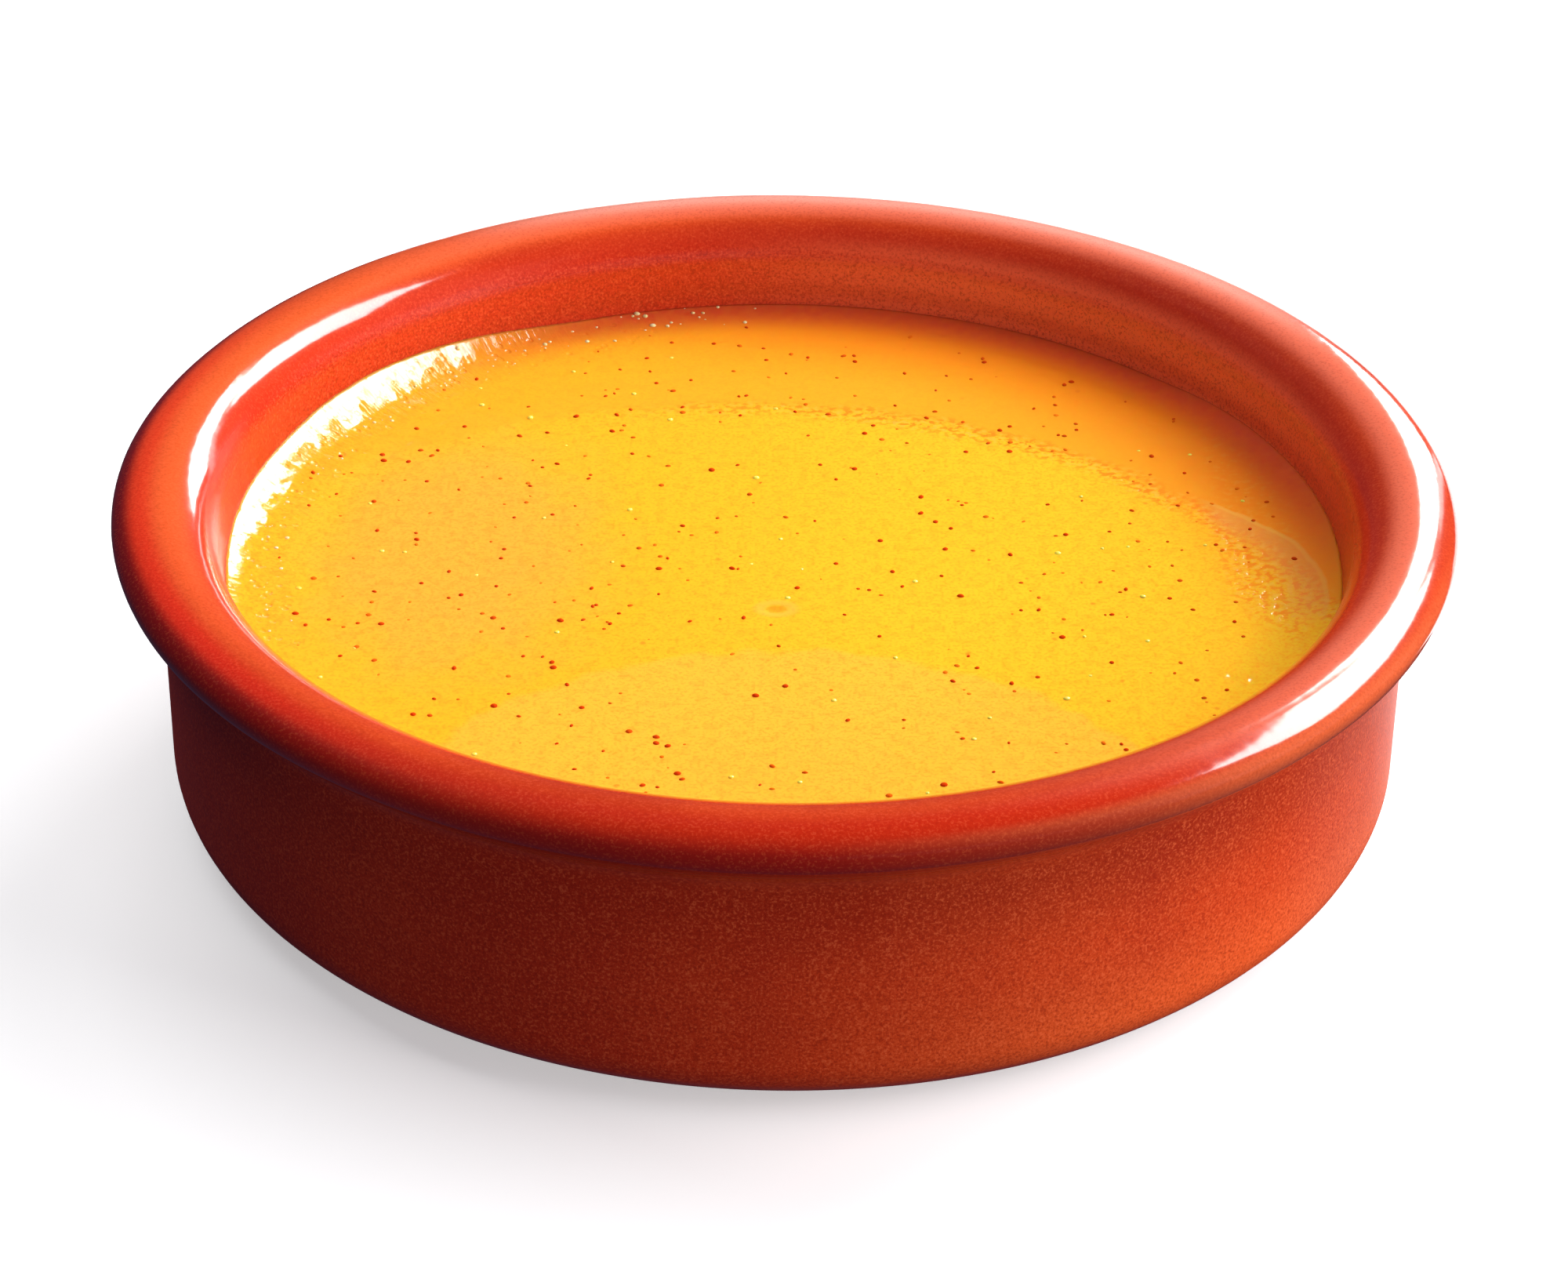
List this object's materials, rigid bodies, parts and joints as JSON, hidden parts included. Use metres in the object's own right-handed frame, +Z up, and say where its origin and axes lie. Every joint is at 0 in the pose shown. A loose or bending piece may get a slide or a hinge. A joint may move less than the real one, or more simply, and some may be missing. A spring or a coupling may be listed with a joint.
{
  "type": "creme brulee",
  "caption": "Smooth vanilla custard with fine seeds, baked and served in a low round glazed earthenware dish with a rolled rim.",
  "frame": {"origin": "middle of the dish's flat underside, on the surface it stands on", "axes": "+Z up through the middle of the dish; it is round, so +X and +Y are free, and the pictured side faces -Y"},
  "size_m": [0.12, 0.12, 0.0304],
  "materials": {
    "glazed_terracotta": "gloss",
    "vanilla_custard": "satin"
  },
  "bodies": {
    "root": {"dish": "glazed_terracotta", "custard": "vanilla_custard"}
  },
  "joints": []
}
